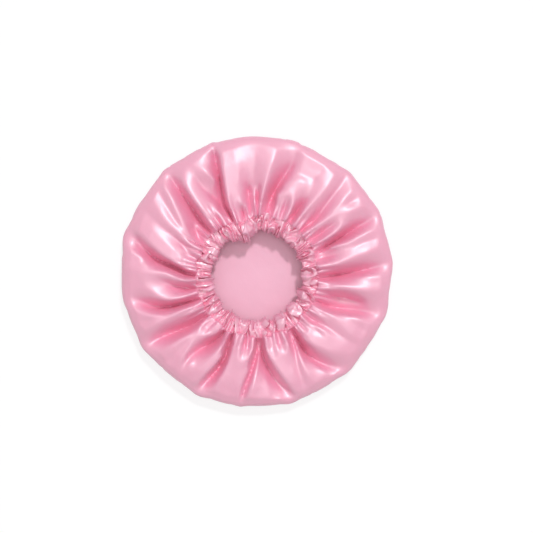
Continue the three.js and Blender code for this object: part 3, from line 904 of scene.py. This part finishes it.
    def build(self) -> bpy.types.Object:
        """Makes the shell, with its cut laid out in the flat cloth as a UV map, and has it replace the
        plain solid.
        """
        skirt = self.skirt()
        crown = self.crown(skirt[0])
        tuck = self.tuck(skirt[-1])
        grid = np.concatenate([crown, skirt, tuck])
        cut = np.concatenate([
            np.linspace(0, self.lie_radius, len(crown) + 1)[:-1],
            np.linspace(self.lie_radius, self.seam_radius, len(skirt)),
            np.linspace(self.seam_radius, self.cut_radius, len(tuck) + 1)[1:],
        ])
        turns = np.linspace(0, FULL_TURN, self.columns + 1)
        pattern = cut[:, None, None] * np.stack([np.cos(turns), np.sin(turns)], -1)
        piece = Sheet("satin_shell_cloth", grid, self.thickness, pattern, pole=True).build()
        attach(piece, "root")
        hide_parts("satin_shell")
        return piece


@dataclass(frozen=True)
class Ruches:
    """How the casing's cloth stands off its path: ruches, and small creases over them.

    Attributes:
        gathers: what makes them.
        height: how far a ruche of even width stands up over the elastic.
        mouth_height: how far it stands up at the mouth, as the skirt does there.
        height_power: how late it rises from the one to the other.
        dip: share of the height that is missing along the opening's edge.
        dip_spread: half width of that dip, as a share of the strip.
        to_and_fro: how far a ruche wanders one way on one leaf and back on the other, in ruches.
        aside: how far it wanders to one side on both, in ruches.
        lower_reach: shares of the strip over which the lower leaf turns to follow the upper one.
        creases: the small creases.
        crease_height: how far the cloth stands up between them.
        crease_wander: how far they wander aside, in creases.
        patches: patches of creases across the strip.
        patch_wander: how far a patch is moved aside, in patches.
        puff_height: how far the loose cloth stands up on the whole.
        puffs: how much more or less it does where groups of ruches stand higher than others.
        lobe_puff: how far the cloth stands into the opening at the lobe.
        lobe_power: how closely that keeps to the lobe.
        loose_power: how late creases and puffs rise from the mouth.
    """

    gathers: Gathers
    height: float = 5.6 * MM
    mouth_height: float = 3.8 * MM
    height_power: float = 0.5
    dip: float = 0.4
    dip_spread: float = 0.09
    to_and_fro: Noise = Noise(21, 12, 34, 0.45)
    aside: Noise = Noise(22, 20, 45, 0.45)
    lower_reach: Reach = (0.86, 0.94)
    creases: Gathers = Gathers(count=118, spread=0.4, seed=37)
    crease_height: float = 1.7 * MM
    crease_wander: Noise = Noise(38, 14, 50, 1.6)
    patches: float = 1.5
    patch_wander: Noise = Noise(39, 9, 30, 0.35)
    puff_height: float = 0.9 * MM
    puffs: Noise = Noise(24, 7, 19, 0.9 * MM)
    lobe_puff: float = 3.5 * MM
    lobe_power: float = 0.4
    loose_power: float = 0.6

    def _loose(self, turns: Grid, across: Grid, lobe: Grid) -> Grid:
        """How far creases and puffs stand up where the cloth is free."""
        free = np.sin(np.pi * across)
        fork = self.creases.phase(turns) + free * self.crease_wander.at(turns)
        patch = across * self.patches + self.patch_wander.at(turns)
        creased = self.crease_height * self.creases.wave(fork) * (0.5 + 0.5 * np.sin(FULL_TURN * patch))
        puffed = self.puff_height + self.puffs.at(turns) + self.lobe_puff * lobe**self.lobe_power
        return (creased + puffed) * free**self.loose_power

    def off_path(self, turns: Grid, across: Grid, lobe: Grid) -> Grid:
        """How far the cloth stands off its path.

        Each ruche has its own height and wanders a little across the strip. At the mouth, where
        the strip is stitched to the skirt, both leaves ruffle together with the skirt's gathers.

        Args:
            turns: places round the bonnet.
            across: shares of the way across the strip, as a column.
            lobe: 1 at the middle of the casing's lobe and 0 away from it, at each turn.
        """
        free = np.sin(np.pi * across)
        wander = np.sin(FULL_TURN * across) * self.to_and_fro.at(turns) + free**2 * self.aside.at(turns)
        height = self.mouth_height + (self.height - self.mouth_height) * free**self.height_power
        height = height * (1 - self.dip * np.exp(-(((across - 0.5) / self.dip_spread) ** 2)))
        together = 1 - 2 * ramp(across, *self.lower_reach)
        ruched = height * self.gathers.ruffle(turns, wander) * together
        return ruched + self._loose(turns, across, lobe)


@dataclass(frozen=True)
class ElasticCasing:
    """The strip of satin that is folded round the elastic and sewn to the skirt at its mouth.

    Attributes:
        cone: what it lies on.
        ruches: how its cloth stands up.
        strip_length: length of the cut strip.
        strip_width: width of the cut strip.
        thickness: thickness of the satin.
        mouth_lift: distance of each leaf from the cone at the mouth.
        leaf_lift: distance of each leaf from the cone over the elastic.
        elastic_end: inset of the elastic's outer edge, from which the leaves draw together.
        bend_points: points that the bend round the opening's edge is drawn with.
        seam_reach: insets over which the casing follows the stitched mouth in and out.
        lean: how far a ruche leans over its neighbour, as a share of its height.
        lap: turns from which and up to which the elastic's ends lap.
        lap_ramp: turns over which the upper end climbs onto the lower one, and the casing with it.
        lap_lift: how much higher the upper leaf lies on the lap.
        lap_push: how far the opening's edge stands in there, as a share of that.
        lap_edge: inset up to which it does.
        shut_reach: insets over which the upper leaf comes back down to the shut mouth.
        columns: points round the casing.
        rows: points across the strip.
    """

    cone: Cone
    ruches: Ruches
    strip_length: float = 735 * MM
    strip_width: float = 52 * MM
    thickness: float = 0.35 * MM
    mouth_lift: float = 0.6 * MM
    leaf_lift: float = 1.1 * MM
    elastic_end: float = 13.5 * MM
    bend_points: int = 9
    seam_reach: Reach = (12 * MM, 19 * MM)
    lean: Noise = Noise(25, 16, 48, 0.45)
    lap: Reach = (0.298, 0.338)
    lap_ramp: float = 0.029
    lap_lift: float = 2.1 * MM
    lap_push: float = 0.4
    lap_edge: float = 2 * MM
    shut_reach: Reach = (16 * MM, 19 * MM)
    columns: int = 960
    rows: int = 51

    def _path(self) -> tuple[Grid, Grid]:
        """Inset and lift across the strip, from the mouth over the elastic, round it and back."""
        bend = np.linspace(math.pi / 2, 3 * math.pi / 2, self.bend_points)
        mouth, end, leaf = self.cone.width, self.elastic_end, self.leaf_lift
        inset = np.concatenate([[mouth, end], leaf + leaf * np.cos(bend), [end, mouth]])
        lift = np.concatenate([[self.mouth_lift, leaf], leaf * np.sin(bend), [-leaf, -self.mouth_lift]])
        return evenly(self.rows, inset, lift)

    def _over_lap(self, turns: Grid) -> Grid:
        """How much higher the upper leaf lies at each turn, over the elastic's lap."""
        start, end = self.lap
        return self.lap_lift * (
            ramp(turns, start - self.lap_ramp, start) * (1 - ramp(turns, end, end + self.lap_ramp))
        )

    def grid(self) -> Grid:
        """The strip's middle surface: its path round the elastic with the ruches laid off square to it."""
        inset, lift = (line[:, None] for line in self._path())
        turns = np.arange(self.columns) / self.columns
        across = np.linspace(0, 1, self.rows)[:, None]
        out = unit(np.stack([np.gradient(lift, axis=0), -np.gradient(inset, axis=0)], -1))
        size = self.ruches.off_path(turns, across, self.cone.lobe(turns))
        lapped = self._over_lap(turns)
        placed_inset = inset + size * out[..., 0] - self.lap_push * lapped * (inset < self.lap_edge)
        placed_inset = placed_inset + self.cone.seam.at(turns) * ramp(inset, *self.seam_reach)
        raised = (lift > 0) * (1 - ramp(inset, *self.shut_reach))
        placed_lift = lift + size * out[..., 1] + lapped * raised
        sway = self.lean.at(turns) * np.sin(np.pi * across) * size / self.cone.opening_radius / FULL_TURN
        return smoothed(self.cone.place(placed_inset, placed_lift, turns + sway))

    def build(self) -> tuple[bpy.types.Object, Grid]:
        """Makes the casing, with its cut laid out in the flat cloth as a UV map, and has it replace the
        plain solid.

        Returns:
            The casing and the grid of its middle surface.
        """
        grid = self.grid()
        along = np.linspace(0, self.strip_length, self.columns + 1)
        across = np.linspace(0, self.strip_width, len(grid))
        pattern = np.stack(np.broadcast_arrays(along[None], across[:, None]), -1)
        piece = Sheet("elastic_casing_cloth", grid, self.thickness, pattern).build()
        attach(piece, "root")
        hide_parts("elastic_casing")
        return piece, grid


@dataclass(frozen=True)
class StitchRow:
    """A row of lockstitch along the casing's mouth, on one leaf.

    Attributes:
        name: name of the piece.
        node: the plain thread that it replaces.
        row: row of the casing's grid that it runs on, which may lie between two.
        count: stitches round the casing.
        thread: thickness of the thread.
        gap: share of a stitch's length between it and the next.
        rise: how far a stitch bows off the cloth, as a share of its thickness.
        sink: how far its ends lie in the cloth, as a share of it.
        end_width: thickness of its ends, as a share of it.
        ring: points round the thread.
        bow: points along a stitch.
    """

    name: str
    node: str
    row: float
    count: int = 270
    thread: float = 0.36 * MM
    gap: float = 0.16
    rise: float = 0.6
    sink: float = 0.3
    end_width: float = 0.55
    ring: int = 6
    bow: int = 6

    def _on_cloth(self, grid: Grid, place: Grid) -> Grid:
        """Points of a grid at the stitch row, at places given in columns."""
        low = int(self.row)
        line = grid[low] * (1 - (self.row - low)) + grid[low + 1] * (self.row - low)
        base = np.floor(place).astype(int)
        share = (place - base)[..., None]
        return line[base % len(line)] * (1 - share) + line[(base + 1) % len(line)] * share

    def _quads(self) -> Grid:
        """The stitches' faces: round each thread, then those that close its two ends."""
        index = np.arange(self.count * self.bow * self.ring).reshape(self.count, self.bow, self.ring)
        after = np.roll(index, -1, axis=2)
        quads = [np.stack([index[:, :-1], index[:, 1:], after[:, 1:], after[:, :-1]], -1).reshape(-1, 4)]
        for end, step in ((0, 1), (-1, -1)):
            for corner in range(self.ring // 2 - 1):
                cap = [corner, corner + 1, self.ring - 2 - corner, self.ring - 1 - corner][::step]
                quads.append(index[:, end, cap])
        return np.concatenate(quads)

    def build(self, grid: Grid, cloth: float) -> bpy.types.Object:
        """Makes the stitches: each bows off the cloth and dips back into it at both ends.

        Args:
            grid: middle surface of the casing.
            cloth: thickness of its cloth.
        """
        along = np.linspace(self.gap / 2, 1 - self.gap / 2, self.bow)
        place = (np.arange(self.count)[:, None] + along) * grid.shape[1] / self.count
        up = unit(self._on_cloth(facing(grid), place))
        bow = np.sin(np.pi * np.linspace(0, 1, self.bow))[:, None]
        centre = self._on_cloth(grid, place)
        centre = centre + up * (cloth / 2 + self.thread * (self.rise * bow - self.sink))
        side = np.cross(unit(np.gradient(centre, axis=1)), up)
        angle = (np.arange(self.ring) / self.ring * FULL_TURN)[:, None]
        ring = side[:, :, None] * np.cos(angle) + up[:, :, None] * np.sin(angle)
        radius = self.thread / 2 * (self.end_width + (1 - self.end_width) * bow)
        points = (centre[:, :, None] + ring * radius[:, None]).reshape(-1, 3)
        piece = linked(self.name, mesh_of(self.name, points, self._quads()))
        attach(piece, "root")
        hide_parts(self.node)
        return piece


# Finishes


def computed(
    tree: bpy.types.NodeTree, operation: str, *values: bpy.types.NodeSocket | float
) -> bpy.types.NodeSocket:
    """What a math node makes of its values, each a number or a socket that it reads."""
    made = tree.nodes.new("ShaderNodeMath")
    made.operation = operation
    for socket, value in zip(made.inputs, values):
        if isinstance(value, bpy.types.NodeSocket):
            tree.links.new(value, socket)
        else:
            socket.default_value = value
    return made.outputs[0]


def grain_group() -> bpy.types.NodeTree:
    """What the finishes share: the height of a noise, as fine along each axis as it is told."""
    group = bpy.data.node_groups.new("grain", "ShaderNodeTree")
    kinds = {"Place": "Vector", "Fineness": "Vector", "Detail": "Float", "Roughness": "Float"}
    for label, kind in kinds.items():
        group.interface.new_socket(label, in_out="INPUT", socket_type=f"NodeSocket{kind}")
    group.interface.new_socket("Height", in_out="OUTPUT", socket_type="NodeSocketFloat")
    given = group.nodes.new("NodeGroupInput").outputs
    stretched = group.nodes.new("ShaderNodeVectorMath")
    stretched.operation = "MULTIPLY"
    noise = group.nodes.new("ShaderNodeTexNoise")
    noise.inputs["Scale"].default_value = 1
    result = group.nodes.new("NodeGroupOutput")
    for source, target in (
        (given["Place"], stretched.inputs[0]),
        (given["Fineness"], stretched.inputs[1]),
        (stretched.outputs[0], noise.inputs["Vector"]),
        (given["Detail"], noise.inputs["Detail"]),
        (given["Roughness"], noise.inputs["Roughness"]),
        (noise.outputs["Fac"], result.inputs["Height"]),
    ):
        group.links.new(source, target)
    return group


@dataclass(frozen=True)
class Grain:
    """The small unevenness of a surface: a grain, soft creases or a weave.

    Attributes:
        fineness: grains to a metre along each axis of the place that it reads.
        depth: their depth.
        detail: how many finer noises lie over the coarse one.
        roughness: how strong each of them is beside the one before.
    """

    fineness: tuple[float, float, float]
    depth: float
    detail: float = 2
    roughness: float = 0.4

    def bump(
        self, material: bpy.types.Material, group: bpy.types.NodeTree, place: bpy.types.NodeSocket
    ) -> None:
        """Adds it to a material, on top of those that it has.

        Args:
            material: the material.
            group: the grain's group.
            place: the place that it reads.
        """
        nodes, links = material.node_tree.nodes, material.node_tree.links
        normal = nodes["Principled BSDF"].inputs["Normal"]
        placed = nodes.new("ShaderNodeGroup")
        placed.node_tree = group
        links.new(place, placed.inputs["Place"])
        placed.inputs["Fineness"].default_value = self.fineness
        placed.inputs["Detail"].default_value = self.detail
        placed.inputs["Roughness"].default_value = self.roughness
        made = nodes.new("ShaderNodeBump")
        made.inputs["Strength"].default_value = 1
        made.inputs["Distance"].default_value = self.depth
        links.new(placed.outputs["Height"], made.inputs["Height"])
        if normal.is_linked:
            links.new(normal.links[0].from_socket, made.inputs["Normal"])
        links.new(made.outputs["Normal"], normal)


@dataclass(frozen=True)
class Finish:
    """A plain finish, such as a thread's or the elastic's.

    Attributes:
        name: name of the material.
        colour: its colour, as linear red, green and blue.
        roughness: how spread out its gloss is.
        sheen: soft light along its edges.
        grain: its grain or soft creases.
    """

    name: str
    colour: Colour
    roughness: float
    sheen: float
    grain: Grain

    def material(self, group: bpy.types.NodeTree) -> bpy.types.Material:
        """Builds the material with the grain's group."""
        made = bpy.data.materials.new(self.name)
        made.use_nodes = True
        shader = made.node_tree.nodes["Principled BSDF"]
        shader.inputs["Base Color"].default_value = (*self.colour, 1)
        shader.inputs["Roughness"].default_value = self.roughness
        shader.inputs["Sheen Weight"].default_value = self.sheen
        self.grain.bump(made, group, made.node_tree.nodes.new("ShaderNodeTexCoord").outputs["Object"])
        return made


@dataclass(frozen=True)
class SatinFinish(Finish):
    """One face of the satin, which adds its gloss, its glow and its weave.

    Attributes:
        index: refractive index, which sets the gloss seen straight on.
        glow: share of light that passes into the thin cloth and shines through.
        glow_depth: how deep that light goes.
        glow_colours: how far red, green and blue spread, as shares of that.
        sheen_roughness: how spread out the light along the edges is.
        weave: the weave, which is finer across the threads than along them.
    """

    index: float
    glow: float = 0.3
    glow_depth: float = 1.0 * MM
    glow_colours: Colour = (1.0, 0.6, 0.7)
    sheen_roughness: float = 0.4
    weave: Grain = Grain((520, 300, 0), 0.07 * MM, detail=1, roughness=0.5)

    def material(self, group: bpy.types.NodeTree) -> bpy.types.Material:
        """Builds the material with the grain's group."""
        made = super().material(group)
        shader = made.node_tree.nodes["Principled BSDF"]
        shader.inputs["IOR"].default_value = self.index
        shader.inputs["Sheen Roughness"].default_value = self.sheen_roughness
        shader.inputs["Subsurface Weight"].default_value = self.glow
        shader.inputs["Subsurface Radius"].default_value = self.glow_colours
        shader.inputs["Subsurface Scale"].default_value = self.glow_depth
        cloth = made.node_tree.nodes.new("ShaderNodeUVMap")
        cloth.uv_map = "cloth"
        self.weave.bump(made, group, cloth.outputs["UV"])
        return made


SATIN_RIGHT = SatinFinish(
    "satin_right_side", (0.92, 0.345, 0.505), 0.43, 0.1, Grain((55,) * 3, 0.5 * MM), index=2.45,
)
SATIN_RUCHED = SatinFinish(
    "satin_ruched", (0.93, 0.345, 0.50), 0.36, 0.1, Grain((240,) * 3, 0.5 * MM), index=2.9,
)
SATIN_WRONG = SatinFinish(
    "satin_wrong_side", (0.95, 0.465, 0.62), 0.5, 0.1, Grain((28,) * 3, 1.6 * MM), index=1.9, glow=0.1,
)
THREAD_GRAIN = Grain((2500,) * 3, 0.05 * MM)
SEAM_THREAD = Finish("pink_thread", (0.90, 0.38, 0.52), 0.5, 0.3, THREAD_GRAIN)
LAP_THREAD = Finish("white_thread", (0.85, 0.82, 0.83), 0.5, 0.3, THREAD_GRAIN)
ELASTIC = Finish("knitted_elastic", (0.86, 0.83, 0.81), 0.85, 0.3, Grain((900,) * 3, 0.3 * MM))


# The studio


@dataclass(frozen=True)
class Studio:
    """The table top, the lamps and the camera over the bonnet.

    Attributes:
        pixel: size of a pixel of the photograph on the table.
        frame_pixels: width of the photograph.
        centre_pixels: where the bonnet's middle lies in it, from its top left corner.
        lens: focal length of the camera, in millimetres.
        sensor: width of its sensor, in millimetres.
        table_side: half the side of the table top.
        table_roughness: how dull the table top is.
        table_bounce: share of the light that the table throws back on the bonnet.
        table_shade: share of it that the camera sees, which sets how deep the shadow is.
        table_glow: light that the camera sees over that, which makes the table white.
        key_azimuth: where the key lamp stands, in degrees from +X towards +Y.
        key_elevation: how high it stands, in degrees.
        key_spread: how wide it looks from the bonnet, in degrees.
        key_energy: strength of the key lamp.
        box_side: side of the square lamp overhead.
        box_height: how high that lamp hangs.
        box_glow: how bright it looks, where white paper is 1.
        sky_energy: strength of the even light from all round.
    """

    pixel: float = 1.2915 * MM
    frame_pixels: int = 533
    centre_pixels: tuple[float, float] = (256.2, 271.4)
    lens: float = 85.0
    sensor: float = 36.0
    table_side: float = 3.0
    table_roughness: float = 0.9
    table_bounce: float = 0.75
    table_shade: float = 0.25
    table_glow: float = 0.78
    key_azimuth: float = 69.0
    key_elevation: float = 56.0
    key_spread: float = 6.0
    key_energy: float = 1.22
    box_side: float = 0.9
    box_height: float = 1.9
    box_glow: float = 1.9
    sky_energy: float = 0.48

    def camera(self) -> None:
        """Hangs the camera straight over the table, moved so that the bonnet lies where it should."""
        data = bpy.data.cameras.new("camera")
        data.lens = self.lens
        data.sensor_width = self.sensor
        camera = linked("camera", data)
        middle = self.frame_pixels / 2
        camera.location = (
            (middle - self.centre_pixels[0]) * self.pixel,
            (self.centre_pixels[1] - middle) * self.pixel,
            self.frame_pixels * self.pixel * self.lens / self.sensor,
        )
        bpy.context.scene.camera = camera

    @staticmethod
    def _background(tree: bpy.types.NodeTree) -> bpy.types.NodeSocket:
        """1 for a ray of the camera, or one that it sees in gloss or through glass, and 0 for others."""
        rays = tree.nodes.new("ShaderNodeLightPath").outputs
        seen = computed(tree, "MAXIMUM", rays["Is Camera Ray"], rays["Is Glossy Ray"])
        return computed(tree, "MAXIMUM", seen, rays["Is Transmission Ray"])

    def floor(self) -> None:
        """Lays the table top, which looks white and keeps the bonnet's shadow."""
        side = self.table_side
        corners = np.array([(-side, -side, 0), (side, -side, 0), (side, side, 0), (-side, side, 0)])
        top = linked("table_top", mesh_of("table_top", corners, np.array([[0, 1, 2, 3]])))
        material = bpy.data.materials.new("table_white")
        material.use_nodes = True
        tree = material.node_tree
        shader = tree.nodes["Principled BSDF"]
        shader.inputs["Roughness"].default_value = self.table_roughness
        shader.inputs["Specular IOR Level"].default_value = 0
        shader.inputs["Emission Color"].default_value = (1, 1, 1, 1)
        seen = self._background(tree)
        darker = self.table_shade - self.table_bounce
        grey = computed(tree, "MULTIPLY_ADD", seen, darker, self.table_bounce)
        tree.links.new(grey, shader.inputs["Base Color"])
        glow = computed(tree, "MULTIPLY", seen, self.table_glow)
        tree.links.new(glow, shader.inputs["Emission Strength"])
        top.data.materials.append(material)

    def _sky(self) -> bpy.types.World:
        """The even light from all round, which looks white to the camera."""
        world = bpy.data.worlds.new("sky")
        world.use_nodes = True
        tree = world.node_tree
        background = tree.nodes["Background"]
        background.inputs["Color"].default_value = (1, 1, 1, 1)
        seen = self._background(tree)
        strength = computed(tree, "MULTIPLY_ADD", seen, 1 - self.sky_energy, self.sky_energy)
        tree.links.new(strength, background.inputs["Strength"])
        return world

    def lights(self) -> None:
        """Sets the even sky, the key lamp over the picture's top right and the box lamp overhead."""
        bpy.context.scene.world = self._sky()
        lamp = bpy.data.lights.new("key", "SUN")
        lamp.energy = self.key_energy
        lamp.angle = math.radians(self.key_spread)
        azimuth, elevation = math.radians(self.key_azimuth), math.radians(self.key_elevation)
        towards = Vector((
            math.cos(azimuth) * math.cos(elevation),
            math.sin(azimuth) * math.cos(elevation),
            math.sin(elevation),
        ))
        linked("key", lamp).rotation_euler = towards.to_track_quat("Z", "Y").to_euler()
        box = bpy.data.lights.new("box", "AREA")
        box.size = self.box_side
        box.energy = self.box_glow * math.pi * self.box_side**2
        linked("box", box).location = (0, 0, self.box_height)


def dress(piece: bpy.types.Object, *materials: bpy.types.Material) -> None:
    """Gives a piece its materials in place of those that it has.

    Clearing a mesh's materials also sets all its faces to the first, so a mesh without any is left be.
    """
    if piece.data.materials:
        piece.data.materials.clear()
    for material in materials:
        piece.data.materials.append(material)


def main() -> None:
    """Builds the bonnet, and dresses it."""
    logging.basicConfig(level=logging.INFO, format="%(name)s: %(message)s")
    studio = Studio()
    studio.camera()
    studio.floor()
    studio.lights()
    group = grain_group()

    cone = Cone.from_frame()
    gathers = Gathers()
    low, high = CAD_BOX
    crown_centre = ((low[0] + high[0]) / 2, (low[1] + high[1]) / 2)
    shell = SatinShell(cone, crown_centre, gathers, FoldMap(studio.pixel)).build()
    maker = ElasticCasing(cone, Ruches(gathers))
    casing, grid = maker.build()

    wrong = SATIN_WRONG.material(group)
    dress(shell, SATIN_RIGHT.material(group), wrong)
    dress(casing, SATIN_RUCHED.material(group), wrong)
    seam = SEAM_THREAD.material(group)
    from_mouth = 1.3
    for name, node, row in (
        ("upper_stitches", "casing_upper_stitching", from_mouth),
        ("lower_stitches", "casing_lower_stitching", maker.rows - 1 - from_mouth),
    ):
        dress(StitchRow(name, node, row).build(grid, maker.thickness), seam)
    dress(frame["nodes"]["elastic_band"], ELASTIC.material(group))
    dress(frame["nodes"]["elastic_lap_stitching"], LAP_THREAD.material(group))
    for piece in bpy.context.scene.objects:
        if piece.type == "MESH":
            LOG.info("%s: %d faces", piece.name, len(piece.data.polygons))

    bpy.context.scene.view_settings.view_transform = "Standard"


if __name__ == "__main__":
    main()
